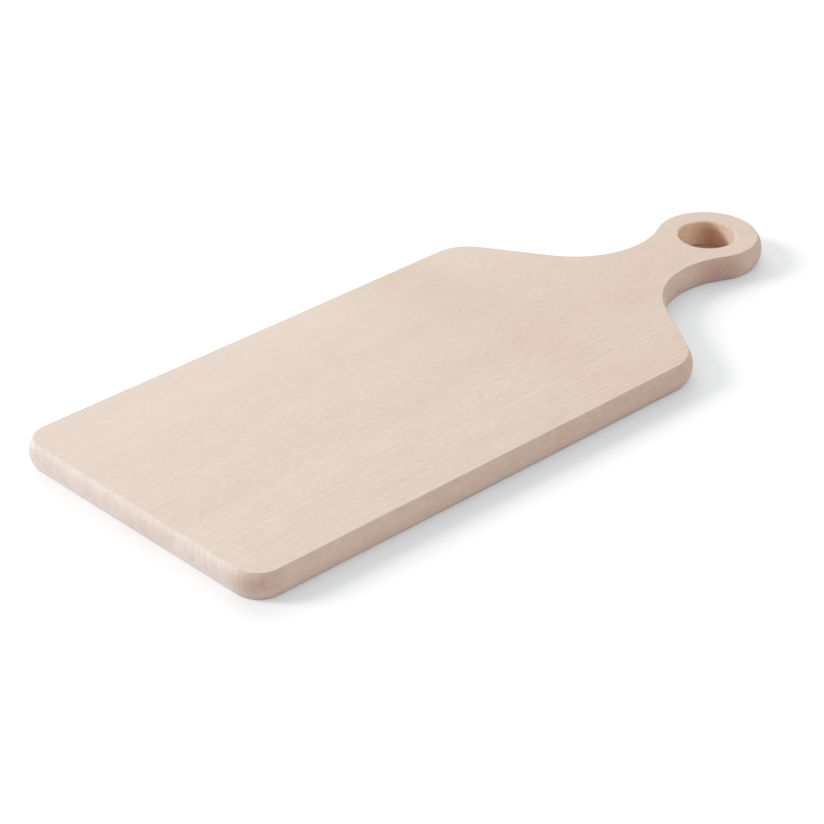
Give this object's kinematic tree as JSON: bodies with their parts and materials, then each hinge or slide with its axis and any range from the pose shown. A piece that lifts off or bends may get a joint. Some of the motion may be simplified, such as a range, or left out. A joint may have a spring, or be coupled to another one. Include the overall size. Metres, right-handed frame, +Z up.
{
  "type": "cutting board",
  "caption": "Flat beech cutting board with rounded corners and swelling sides, sloping shoulders and a waisted handle that ends in a round eye with a hang hole.",
  "frame": {"origin": "middle of the board's length and width, on the underside", "axes": "+X along the grain from the plain end to the handle, +Y across the board, +Z up out of the cutting face"},
  "size_m": [0.39, 0.16, 0.013],
  "materials": {
    "beech": "raw sanded beech, matte, with fine grain along the length"
  },
  "bodies": {
    "root": {"board": "beech"}
  },
  "joints": []
}
